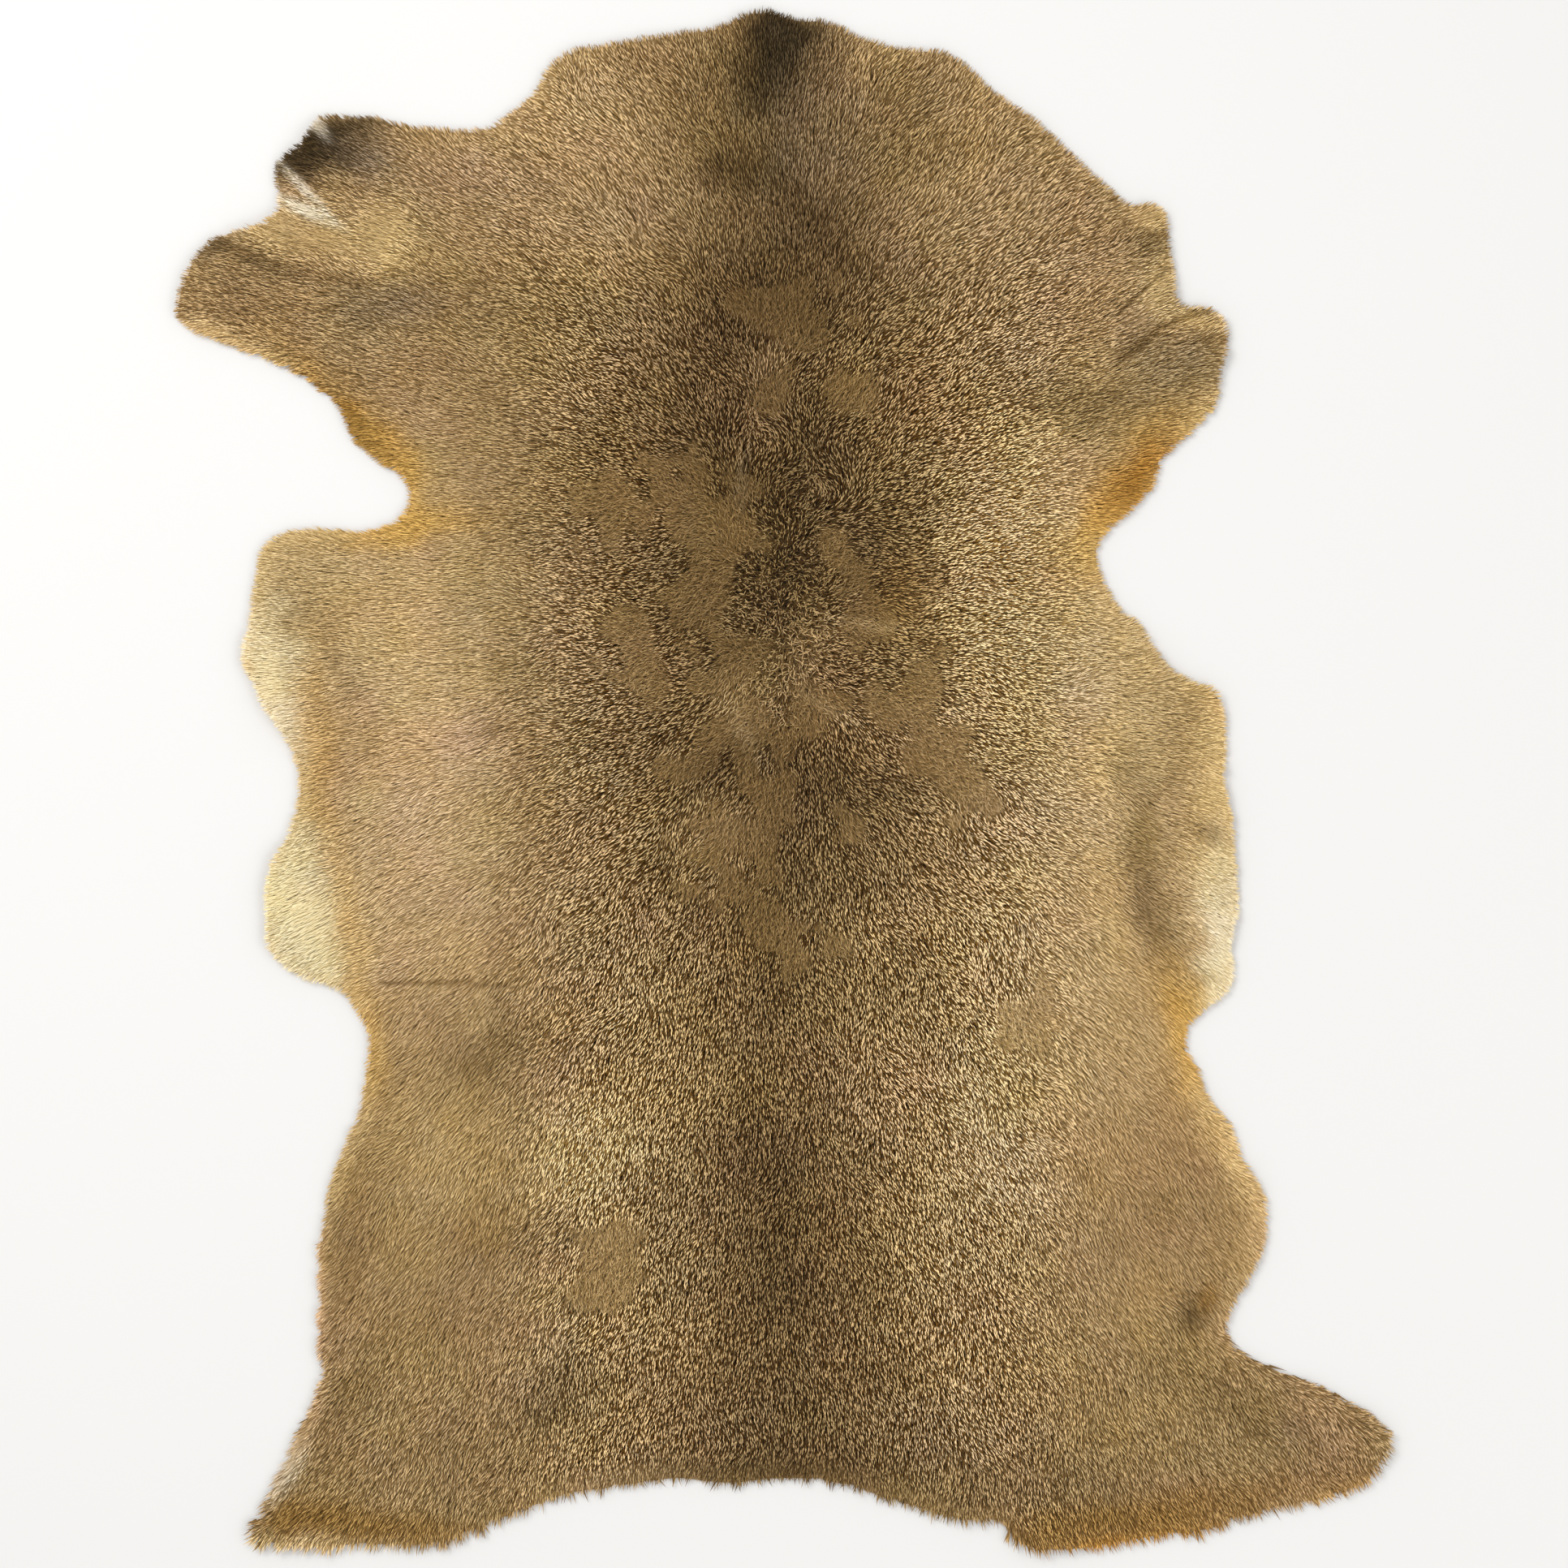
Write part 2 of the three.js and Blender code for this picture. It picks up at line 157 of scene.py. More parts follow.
# Patches of colour. Each is a soft oval about x, y, reaching along and across, with its long axis
# turned by turn. strength is how far it covers what lies under it, and plain how far it hides the
# light and dark flecks of the hairs.
PATCH_COLUMNS = ("name", "x", "y", "along", "across", "turn", "colour", "strength", "plain")
PATCHES = (
    ("right side", 165, -20, 260, 38, 90, "sand", 0.42, 0.0),
    ("haunches", 60, -488, 380, 74, 0, "brown", 0.40, 0.0),
    ("left flank", -262, 40, 175, 62, 92, "sand", 0.85, 0.15),
    ("left flank, lower", -266, -96, 70, 58, 90, "sand", 0.35, 0.15),
    ("right flank", 228, 50, 160, 50, 90, "sand", 0.80, 0.15),
    ("right flank, lower", 226, -160, 90, 60, 90, "sand", 0.45, 0.1),
    ("left of the neck", -146, 478, 58, 34, 160, "sand", 0.30, 0.0),
    ("left shoulder", -215, 425, 74, 34, 175, "rose", 0.40, 0.1),
    ("left upper arm", -180, 345, 90, 36, 175, "brown", 0.35, 0.1),
    ("before the left armpit", -322, 292, 40, 16, 158, "brown", 0.40, 0.3),
    ("grey of the left shoulder", -288, 336, 44, 20, 5, "grey", 0.60, 0.2),
    ("left elbow", -236, 288, 60, 22, 150, "brown", 0.25, 0.0),
    ("left ribs", -94, 222, 90, 40, 95, "brown", 0.75, 0.0),
    ("right shoulder", 190, 405, 70, 44, 130, "rose", 0.35, 0.1),
    ("right upper arm", 112, 360, 36, 26, 20, "brown", 0.40, 0.0),
    ("bar of the right shoulder", 206, 270, 54, 17, 174, "brown", 0.75, 0.2),
    ("right ribs", 166, 190, 66, 40, 70, "honey", 0.92, 0.1),
    ("right ribs, lower", 156, 112, 62, 38, 90, "honey", 0.62, 0.1),
    ("left ribs, lower", -168, 162, 44, 34, 90, "tan", 0.30, 0.0),
    ("left of the nape", -80, 506, 44, 40, 90, "brown", 0.60, 0.1),
    ("right of the nape", 84, 468, 50, 40, 90, "brown", 0.65, 0.1),
    ("right croup", 84, -138, 30, 26, 0, "brown", 0.40, 0.0),
    ("left rump", -84, -262, 34, 30, 90, "tan", 0.40, 0.0),
    ("left thigh", -246, -262, 50, 34, 90, "sand", 0.38, 0.1),
    ("spot on the neck", -2, 522, 40, 30, 80, "black", 1.0, 0.2),
    ("tail of the neck spot", -16, 492, 18, 13, 90, "black", 0.60, 0.2),
    ("grey of the withers", 16, 446, 66, 44, 90, "grey", 0.35, 0.1),
    ("nape", -36, 433, 28, 17, 165, "umber", 0.85, 0.1),
    ("right of the withers", 22, 398, 54, 15, 130, "umber", 0.80, 0.1),
    ("upper back, left", -46, 322, 44, 26, 80, "umber", 0.50, 0.0),
    ("upper back, right", 4, 337, 38, 28, 0, "umber", 0.94, 0.0),
    ("gap of the upper back", -12, 300, 22, 12, 30, "tan", 0.35, 0.3),
    ("middle back, left", -54, 244, 42, 30, 100, "umber", 0.55, 0.0),
    ("left of the middle back", -82, 222, 26, 22, 90, "umber", 0.32, 0.0),
    ("middle back, right", 14, 236, 44, 26, 60, "umber", 0.45, 0.0),
    ("saddle, right", 62, 150, 38, 30, 110, "umber", 0.50, 0.0),
    ("saddle, left", -62, 124, 50, 26, 95, "umber", 0.35, 0.0),
    ("saddle, middle", 8, 170, 44, 20, 90, "umber", 0.35, 0.0),
    ("light of the saddle", -30, 60, 34, 20, 150, "tan", 0.40, 0.4),
    ("gap of the saddle", 10, 90, 34, 20, 60, "tan", 0.35, 0.3),
    ("red of the saddle", 88, 128, 34, 22, 100, "ochre", 0.45, 0.2),
    ("wisp over the saddle", 64, 112, 30, 5, 172, "sand", 0.30, 0.3),
    ("wisp beside the loin", 34, 52, 20, 5, 150, "sand", 0.28, 0.3),
    ("wisp of the left loin", -28, 34, 24, 6, 118, "sand", 0.28, 0.3),
    ("wisp of the withers", -30, 214, 22, 5, 84, "grey", 0.40, 0.3),
    ("left loin", -46, 14, 30, 14, 10, "umber", 0.50, 0.0),
    ("right of the loin", 152, 4, 60, 38, 90, "brown", 0.28, 0.0),
    ("right loin", 44, -2, 46, 18, 175, "umber", 0.35, 0.0),
    ("light of the loin", -52, -36, 30, 24, 30, "tan", 0.30, 0.3),
    ("line of the croup", -14, -115, 62, 16, 90, "umber", 0.30, 0.0),
    ("dark of the rump", -8, -288, 44, 26, 90, "umber", 0.12, 0.0),
    ("root of the tail", 10, -488, 80, 22, 0, "umber", 0.50, 0.0),
    ("pale of the left rump", -140, -260, 46, 34, 60, "honey", 0.92, 0.1),
    ("pale of the right rump", 150, -256, 60, 38, 90, "sand", 0.60, 0.1),
    ("left hip", -206, -190, 34, 22, 40, "brown", 0.60, 0.1),
    ("dark of the left thigh", -190, -322, 40, 26, 20, "brown", 0.40, 0.1),
    ("dark of the left hind leg", -162, -432, 38, 26, 30, "umber", 0.40, 0.1),
    ("inside of the left hind leg", -316, -448, 60, 20, 62, "brown", 0.60, 0.2),
    ("inside of the right hind leg", 330, -442, 70, 24, 150, "brown", 0.62, 0.2),
    ("right hind tip", 396, -472, 40, 20, 150, "rose", 0.35, 0.2),
    ("left foreleg", -386, 346, 56, 26, 160, "brown", 0.45, 0.2),
    ("dark rim of the left foreleg", -404, 380, 20, 8, 30, "umber", 0.60, 0.4),
    ("left foreleg rim", -404, 312, 66, 10, 162, "honey", 0.75, 0.85),
    ("left armpit", -308, 248, 62, 20, 130, "orange", 0.90, 0.8),
    ("left armpit inner", -286, 222, 40, 22, 118, "gold", 0.85, 0.8),
    ("deep of the left armpit", -302, 246, 44, 13, 130, "ochre", 0.55, 0.6),
    ("behind the left armpit", -272, 182, 50, 16, 8, "gold", 0.75, 0.7),
    ("cuff of the left foreleg", -338, 387, 64, 18, 163, "beige", 0.62, 0.85),
    ("end of the cuff", -286, 388, 30, 22, 70, "beige", 0.80, 0.85),
    ("bright end of the cuff", -282, 374, 18, 14, 70, "honey", 0.50, 0.7),
    ("left lobe", -336, 450, 46, 23, 14, "umber", 0.92, 0.1),
    ("left lobe tip", -330, 451, 42, 17, 28, "black", 0.92, 0.1),
    ("grey behind the lobe", -296, 440, 24, 16, 0, "grey", 0.70, 0.1),
    ("grey hollow of the streaks", -356, 418, 14, 6, 150, "rose", 0.70, 0.8),
    ("first pale streak", -338, 405, 24, 5, 155, "pale", 0.98, 0.97),
    ("second pale streak", -340, 421, 28, 3, 133, "pale", 0.90, 0.95),
    ("pale hair on the lobe", -332, 466, 12, 5, 130, "pale", 0.55, 0.9),
    # Painted shade: a dark band under the fold of the cuff.
    ("under the cuff", -372, 369, 46, 6, 160, "umber", 0.45, 0.3),
    ("tab of the right foreleg", 259, 402, 18, 11, 175, "beige", 0.80, 0.85),
    # Painted shade: a dark band under the tab of the right foreleg.
    ("under the tab", 262, 382, 20, 8, 175, "umber", 0.42, 0.2),
    ("hollow of the right foreleg", 266, 350, 26, 14, 60, "honey", 0.60, 0.8),
    ("foot of the hollow", 250, 326, 18, 10, 50, "rose", 0.60, 0.7),
    ("right foreleg", 280, 298, 40, 22, 170, "grey", 0.45, 0.2),
    ("fold of the right foreleg", 296, 328, 24, 8, 168, "beige", 0.90, 0.8),
    ("right foreleg foot", 292, 256, 30, 12, 40, "beige", 0.80, 0.8),
    ("right armpit", 240, 200, 66, 24, 55, "gold", 0.90, 0.8),
    ("deep of the right armpit", 253, 222, 34, 15, 55, "orange", 0.95, 0.7),
    ("upper left corner", -330, 150, 60, 26, 160, "sand", 0.50, 0.7),
    ("upper roll of the left flank", -362, 66, 60, 27, 98, "cream", 0.84, 0.92),
    ("lower roll of the left flank", -342, -96, 66, 38, 97, "cream", 0.92, 0.92),
    ("gold behind the upper roll", -332, 34, 66, 15, 94, "gold", 0.50, 0.6),
    ("gold behind the lower roll", -309, -96, 78, 13, 101, "gold", 0.50, 0.6),
    ("right belly edge", 306, -20, 110, 19, 89, "honey", 0.85, 0.85),
    ("right belly edge, lower", 312, -110, 60, 22, 92, "cream", 0.85, 0.88),
    ("right groin", 286, -180, 54, 17, 104, "gold", 0.85, 0.8),
    ("right hind edge", 320, -262, 60, 13, 118, "honey", 0.78, 0.8),
    ("right hind thigh", 334, -326, 50, 10, 90, "beige", 0.45, 0.6),
    # Painted shade: the brown and umber of the valley and of the dent stand in for shade in these
    # hollows.
    ("valley of the right flank", 254, -50, 66, 13, 96, "brown", 0.60, 0.1),
    ("deep of the valley", 266, -98, 26, 14, 120, "umber", 0.30, 0.1),
    ("roll of the right flank", 288, -56, 50, 13, 92, "sand", 0.50, 0.6),
    ("dent in the right roll", 299, -34, 15, 8, 160, "brown", 0.50, 0.2),
    ("right hind whorl", 289, -374, 17, 12, 70, "umber", 0.65, 0.2),
    ("spot beside the whorl", 299, -364, 11, 7, 70, "ochre", 0.80, 0.4),
    ("left groin", -300, -190, 36, 15, 96, "gold", 0.60, 0.7),
    ("left thigh edge", -316, -252, 60, 11, 74, "beige", 0.75, 0.8),
    ("left edge of the thigh", -318, -330, 44, 18, 90, "brown", 0.40, 0.3),
    ("pegged edge", -333, -370, 70, 6, 90, "skin", 0.85, 0.9),
    ("left hind corner", -352, -518, 40, 15, 8, "ochre", 0.85, 0.6),
    ("leather edge of the left hind leg", -350, -476, 46, 7, 62, "skin", 0.48, 0.9),
    ("pale hair beside that edge", -354, -490, 28, 8, 62, "pale", 0.40, 0.8),
    ("band of the wide end, left", -296, -526, 88, 14, 174, "ochre", 0.85, 0.4),
    ("rim of the wide end, left", -326, -543, 80, 8, 176, "honey", 0.70, 0.6),
    ("wide end, right", 150, -500, 120, 26, 4, "brown", 0.50, 0.2),
    ("band of the wide end, right", 230, -524, 110, 16, 8, "ochre", 0.90, 0.3),
    ("rim of the wide end, right", 244, -541, 110, 9, 8, "orange", 0.85, 0.6),
    ("inner rim of the wide end, right", 326, -506, 90, 16, 12, "ochre", 0.45, 0.3),
    ("right hind sole", 396, -506, 44, 8, 25, "gold", 0.50, 0.4),
    ("right hind toe", 406, -484, 26, 20, 160, "brown", 0.30, 0.3),
)

# Creases in the lying hide, where the pile sinks and the coat's colour is darkened as painted
# shade: a straight stretch from x1, y1 to x2, y2, how wide to each side and how deep a furrow it
# is, from 0 to 1.
CREASE_COLUMNS = ("x1", "y1", "x2", "y2", "half", "deep")
CREASES = (
    (-400, 384, -366, 370, 2.8, 0.65), (-366, 370, -300, 353, 2.8, 0.55),
    (-300, 355, -266, 362, 3.0, 0.5), (-372, 444, -330, 424, 3.0, 0.5),
    (-330, 424, -282, 418, 4.0, 0.35), (-262, 470, -254, 448, 2.0, 0.4),
    (236, 332, 270, 363, 1.6, 0.9), (240, 302, 266, 323, 4.5, 0.75),
    (266, 323, 292, 333, 2.4, 0.75), (292, 333, 313, 337, 1.5, 0.5),
    (241, 397, 256, 389, 3.5, 0.4), (256, 389, 276, 390, 3.5, 0.6),
    (294, 314, 315, 315, 3.0, 0.7), (150, 447, 190, 462, 2.0, 0.4),
    (282, 12, 256, -20, 5.0, 0.30), (256, -20, 248, -62, 7.0, 0.16),
    (248, -62, 256, -94, 7.0, 0.16), (256, -94, 276, -110, 6.0, 0.25),
    (290, -29, 306, -37, 4.0, 0.20), (240, 90, 292, 98, 2.5, 0.3),
    (-370, 395, -322, 372, 1.2, 0.35), (-352, 389, -310, 366, 1.0, 0.3),
    (-344, 402, -302, 382, 1.0, 0.3), (-318, 396, -286, 372, 1.2, 0.25),
    (-286, -141, -232, -141, 1.8, 0.9), (-232, -141, -186, -144, 2.2, 0.65),
    (-186, -144, -110, -150, 3.0, 0.3), (286, -362, 289, -386, 5.0, 0.35),
)
CREASE_SINK = 2.6  # how far the pile sinks in the deepest crease
CREASE_SHADE = (0.52, 0.60, 0.74)  # how much the painted shade of the creases darkens red, green and blue

# Places in the coat that are rubbed smooth and show no flecks: x, y and how far each reaches.
RUBBED_COLUMNS = ("x", "y", "reach")
RUBBED = (
    (20, 320, 46), (-22, 330, 22), (42, 275, 26), (-10, 262, 30), (-72, 210, 38), (-107, 187, 48),
    (-44, 175, 46), (42, 158, 30), (-60, 120, 36), (-107, 101, 32), (-38, 78, 40), (60, 112, 26),
    (-28, 40, 40), (20, 62, 30), (92, 61, 44), (111, 15, 38), (-38, -43, 52), (-9, -8, 26),
    (40, -20, 24), (-15, -77, 34), (2, -117, 30), (30, -110, 20), (169, -163, 38), (-124, -339, 40),
    (255, -302, 30), (-72, 20, 26), (130, -10, 26), (-90, 66, 26),
)
RUBBED_EDGE = (0.28, 0.44)  # their ragged edge, from 0 at their reach to 1 at their middle
RUBBED_LIMIT = (0.0, 0.12)  # and where they fade to nothing

# Soft random clouds in the coat: how strong and how wide each is, and its seed.
CLOUD_COLUMNS = ("strength", "width", "seed")
MOTTLING = ((0.07, 30, 3), (0.05, 90, 4))
WARMTH = ((0.6, 48, 7), (0.5, 17, 8))
ROSINESS = ((0.6, 60, 9), (0.4, 22, 10))
WORN_TONES = ((0.14, 26, 21),)
WORN_EDGES = ((0.50, 22, 31), (0.62, 12, 32))
CLOUD_FIELD = 1400  # width of the field that holds all the clouds
CLOUD_SPREAD = 0.6  # spread of the random values that they run between
ROSY_MEAN, ROSY_LEAST = 0.25, -0.2
BY_WARM = (0.02, 0.0, -0.09)  # how much a warm cloud changes red, green and blue
BY_ROSY = (0.02, -0.02, 0.06)

# How the patches of colour look.
PATCH_EDGE = 1.3  # how firm their edges are
RAGGED = 0.3  # how far their edges stray, as a share of their width
RAGGED_WIDTH, RAGGED_SEEDS = 15, (51, 52)
GOLD_RIM = 0.45  # how far the belly's rim turns to gold

# Where the hair is plain, with few flecks: how plain each zone is, and how much less the legs are.
SILKY_FLANKS = 0.70
SILKY_NECK = 0.38
SILKY_RIM = 0.55
BELLY_RIM_PLAIN = 0.8
RUBBED_PLAIN = 0.7
COARSE_LEGS = 0.3

# The tone of single hairs.
LIGHT_TINT = (2.08, 2.32, 3.05)  # a pale hair beside the coat's mean red, green and blue
DARK_TINT = (0.27, 0.18, 0.04)
TINT_SPREAD = 0.14  # how much single hairs differ from these
TURN_BREAKS = 7  # pale and dark hairs take turns, and one in this many breaks the order
SHADE_GAIN = (1.09, 1.05, 0.87)  # makes up for the shade that hairs cast on each other
SHADELESS = 0.25  # how much less of that gain the plainest hairs need
SHADELESS_PLAIN = (0.65, 0.95)  # how plain those are
BRIGHTEST = 0.93  # the most light that a pale hair gives back
WORN_COVER = 0.3  # how far the rubbed places take their own tone

# The shades along a hair, against the coat's colour there: at its root, in the pale band below its
# tip and at its tip.
SHADE_COLUMNS = ("layer", "name", "root", "band", "tip")
HAIR_SHADES = (
    ("undercoat", "undercoat hair", 0.34, 0.50, 0.45),
    ("inner_hair", "inner hair", 0.28, 0.90, 0.42),
    ("outer_hair", "outer hair", 0.22, 1.10, 0.50),
    ("guard_hair", "guard hair", 0.20, 1.20, 0.55),
)
ROOT_ENDS, BAND_BEGINS, BAND_ENDS = 0.50, 0.58, 0.90  # along the hair
SHADE_FALL = (0, 0.24, 0.75)  # how much faster red, green and blue fall in the darker shades
EVEN_SHADE = 0.95  # the shade of a wholly plain hair from end to end

# The layers of the coat, from the skin up. pieces is how many meshes share a layer's strands,
# faces how many triangles a strand has, strands about how many there are, length and width a
# strand's, foot how far up from the skin to the top of the hair it is rooted, rise how far up
# there its tip lies, wander how far headings stray, in degrees, and gather how far tips lean
# towards the middle of their lock.
LAYER_COLUMNS = ("name", "pieces", "faces", "strands", "length", "width", "foot", "rise", "wander",
                 "gather", "seed")
LAYERS = (
    ("undercoat", 1, 1, 70000, 11.0, 2.0, 0.0, 0.62, 22.0, 0.08, 11),
    ("inner_hair", 1, 1, 80000, 10.5, 1.4, 0.25, 0.84, 14.0, 0.06, 13),
    ("outer_hair", 2, 1, 150000, 9.0, 1.05, 0.45, 0.98, 10.0, 0.03, 15),
    ("guard_hair", 5, 2, 290000, 6.6, 0.52, 0.74, 1.05, 9.0, 0.03, 18),
)
SCATTER = 0.4  # how far roots stray from even rows, as a share of their step
RIM_INSET = 1.8  # how far inside the rim the outermost roots stand where the hair runs along it
ROOT_INSET = 6.5  # and where the hair runs straight out over the rim
ROOT_DEPTH = 0.8  # how far up the thickness of the leather the hair begins
LENGTHS = (0.8, 1.2)  # how the strands of a layer vary, as shares of its values
WIDTHS = (0.75, 1.25)
RISES = (0.94, 1.06)
ROLLS = (-0.3, 0.3)  # and how far they lean to one side
SILKY_LONGER, SILKY_THINNER = 0.5, 0.2  # how much the finer hair of the plain zones differs
RUBBED_SINK = 0.12  # how much lower the tips of the rubbed places lie
LOWEST_TIP, LOWEST_SHOULDER = 0.3, 0.5  # above the floor
SHOULDER = 0.74  # how far along itself a strand of two faces is widest
SHOULDER_RISE = 0.97  # how high it is there, as a share of the height of its tip

# How the hairs stray from the lie of the coat, in degrees or as shares of their layer's wander.
WOOLLY = (0, 175, 70, 130)  # x, y, half width and half length of the woolly middle of the back
PARTED = (0, 115, 24, 62)  # and of the place where the hair parts
RUBBED_STRAY = 1.5
SILKY_CALM = 0.4
PARTED_STRAY = 70
SWIRL, SWIRL_WIDTH, SWIRL_SEED = 20, 22, 5  # tufts that turn together
SILKY_SWIRL_CALM = 0.7
WOOLLY_SWIRL, WOOLLY_WIDTH, WOOLLY_SEED = 90, 36, 6

# The locks that tips gather into, and how far tips stand past their line along the rim.
CLUMP_PITCH = 7.0  # spacing of the locks
CLUMP_STRAY = 0.35  # how far the middle of a lock strays, as a share of that
RIM_GATHER = 0.3  # how much further tips lean into locks along the rim
TIP_ROOM = 0.5  # how far tips stand past the line
FRINGE = 3.0  # how much further the long hair of the wide end does
LOCK_WIDTH, LOCK_SEED = 5, 41
LOCK_DEPTH = 1.3  # how far the locks of the rim stand in and out
FRINGE_CALM = 0.4  # how much less those of the wide end do
STRAGGLE = 0.8  # how far single tips do
DRAW_ROUNDS, DRAW_IN = 10, 0.88  # a tip past its room is drawn in to this share of its length

# The corners of a strand, by how many faces it has: each one's stop along the strand, its side and
# its place in the strand's own cell of the bake map. One of one face is a spike with its wide
# corners at the root, and one of two is a leaf.
STOPS = {"root": 0.0, "shoulder": SHOULDER, "tip": 1.0}
SPIKE = (
    ("root", 1, (0.02, 0.02)),
    ("root", -1, (0.98, 0.02)),
    ("tip", 0, (0.5, 0.98)),
)
LEAF = (
    ("root", 0, (0.5, 0.02)),
    ("shoulder", -1, (0.98, SHOULDER)),
    ("shoulder", 1, (0.02, SHOULDER)),
    ("tip", 0, (0.5, 0.98)),
)
STRAND_CORNERS = {1: SPIKE, 2: LEAF}
STRAND_FACES = {1: (0, 1, 2), 2: (0, 1, 2, 2, 1, 3)}


def named(columns, table):
    """The rows of a table, each with the names of its columns."""
    named_row = namedtuple("Row", columns)
    return [named_row(*row) for row in table]


def smooth(low, high, value):
    """0 below low, 1 above high, and a soft step between them."""
    share = np.clip((value - low) / (high - low), 0.0, 1.0)
    return share * share * (3.0 - 2.0 * share)


def past(band, value):
    """0 before a band, 1 past it and a soft step over it, for a value in metres."""
    low, high = band
    return smooth(low * MM, high * MM, value)


def linear(colour):
    """The linear colour for red, green and blue from 0 to 255."""
    share = np.array(colour, float) / 255.0
    return np.where(share <= 0.04045, share / 12.92, ((share + 0.055) / 1.055) ** 2.4)


def covered(colour, name, cover):
    """The colour at each place with a named colour laid over it, as far as cover says."""
    return colour * (1 - cover) + linear(COLOURS[name])[:, None] * cover


def cell_value(values, i, j, u, v):
    """The value in the cells i, j of a net, at the shares u and v of their sides."""
    near = values[j, i] * (1 - u) + values[j, i + 1] * u
    far = values[j + 1, i] * (1 - u) + values[j + 1, i + 1] * u
    return near * (1 - v) + far * v


class Net:
    """Values on a level net of points, read between its points."""

    def __init__(self, low, step, values):
        self.low, self.step, self.values = low, step, values

    def at(self, x, y):
        """The value at each x, y."""
        rows, columns = self.values.shape
        across = np.clip((x - self.low[0]) / self.step, 0, columns - 1.001)
        along = np.clip((y - self.low[1]) / self.step, 0, rows - 1.001)
        i, j = across.astype(int), along.astype(int)
        return cell_value(self.values, i, j, across - i, along - j)

    def softened(self, rounds):
        """The same net with each value drawn towards its neighbours."""
        soft = self.values.copy()
        for _ in range(rounds):
            edged = np.pad(soft, 1, mode="edge")
            sides = edged[:-2, 1:-1] + edged[2:, 1:-1] + edged[1:-1, :-2] + edged[1:-1, 2:]
            soft = 0.5 * soft + 0.125 * sides
        return Net(self.low, self.step, soft)


def cloud(x, y, width, seed):
    """Soft random clouds about as wide as width in millimetres, mostly from -1 to 1."""
    cells = int(CLOUD_FIELD / width) + 4
    values = np.random.default_rng(seed).normal(0, CLOUD_SPREAD, (cells, cells))
    across, along = x / (width * MM) + cells / 2, y / (width * MM) + cells / 2
    i, j = across.astype(int), along.astype(int)
    return cell_value(values, i, j, smooth(0, 1, across - i), smooth(0, 1, along - j))


def clouds(x, y, table):
    """The clouds of a table, laid over each other."""
    rows = named(CLOUD_COLUMNS, table)
    return sum(row.strength * cloud(x, y, row.width, row.seed) for row in rows)


def oval(x, y, place):
    """1 at the middle of a soft oval place and 0 far from it."""
    middle_x, middle_y, half_width, half_length = (size * MM for size in place)
    return np.exp(-(((x - middle_x) / half_width) ** 2) - ((y - middle_y) / half_length) ** 2)


def merged_copy(node):
    """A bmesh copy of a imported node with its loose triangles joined."""
    shell = bmesh.new()
    shell.from_mesh(node.data)
    bmesh.ops.remove_doubles(shell, verts=shell.verts, dist=1e-6)
    shell.normal_update()
    return shell


def rim_samples(shell):
    """Points along the lower edge of the rim, with the height of the rim's top over each."""
    samples = []
    for edge in shell.edges:
        wall = [face for face in edge.link_faces if abs(face.normal.z) < 0.5]
        under = [face for face in edge.link_faces if face.normal.z < -0.5]
        if len(wall) == 1 and len(under) == 1:
            top = max(vert.co.z for vert in wall[0].verts)
            start, end = (vert.co for vert in edge.verts)
            points = max(2, int(edge.calc_length() / (RIM_STEP * MM)))
            for share in np.linspace(0, 1, points):
                samples.append((start.lerp(end, share), top))
    return samples


def measure_hide(node):
    """Nets of the hide's lower and upper height and of the distance in from its rim, in metres."""
    shell = merged_copy(node)
    tree = BVHTree.FromBMesh(shell)
    samples = rim_samples(shell)
    near = KDTree(len(samples))
    for index, (point, _top) in enumerate(samples):
        near.insert((point.x, point.y, 0.0), index)
    near.balance()
    shell.free()

    low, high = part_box(node.name)
    step, margin = NET_STEP * MM, NET_MARGIN * MM
    start = (low.x - margin, low.y - margin)
    across = int((high.x - low.x + 2 * margin) / step) + 2
    along = int((high.y - low.y + 2 * margin) / step) + 2
    lower, upper, inside = (np.zeros((along, across)) for _ in range(3))
    above, below = high.z + PROBE_GAP * MM, low.z - PROBE_GAP * MM
    for j in range(along):
        for i in range(across):
            x, y = start[0] + i * step, start[1] + j * step
            _place, index, distance = near.find((x, y, 0.0))
            hit = tree.ray_cast(Vector((x, y, above)), Vector((0, 0, -1)))[0]
            if hit is None:
                point, top = samples[index]
                lower[j, i], upper[j, i], inside[j, i] = point.z, top, -distance
            else:
                floor = tree.ray_cast(Vector((x, y, below)), Vector((0, 0, 1)))[0]
                lower[j, i] = floor.z if floor else 0.0
                upper[j, i], inside[j, i] = hit.z, distance
    return Net(start, step, lower), Net(start, step, upper), Net(start, step, inside)


def unit(dx, dy):
    """The directions dx, dy made one long."""
    size = np.maximum(np.hypot(dx, dy), 1e-6)
    return dx / size, dy / size


def outward(x, y, inside):
    """The direction from each x, y to the nearest rim."""
    reach = RIM_REACH * MM
    return unit(inside.at(x - reach, y) - inside.at(x + reach, y),
                inside.at(x, y - reach) - inside.at(x, y + reach))


def lie_heading(x, y, inside):
    """The direction in which the hair lies at each x, y in metres."""
    ahead = y - np.clip(y, PARTING_LOW * MM, PARTING_HIGH * MM)
    toward_neck = smooth(0, SPREAD_CHANGE * MM, y - PARTING_LOW * MM)
    spread = SPREAD_TO_TAIL + (SPREAD_TO_NECK - SPREAD_TO_TAIL) * toward_neck
    hx, hy = unit(spread * x, ahead)
    out_x, out_y = outward(x, y, inside)
    lean = RIM_LEAN * (1 - past(RIM_LEAN_BAND, inside.at(x, y)))
    return unit(hx + lean * out_x, hy + lean * out_y)


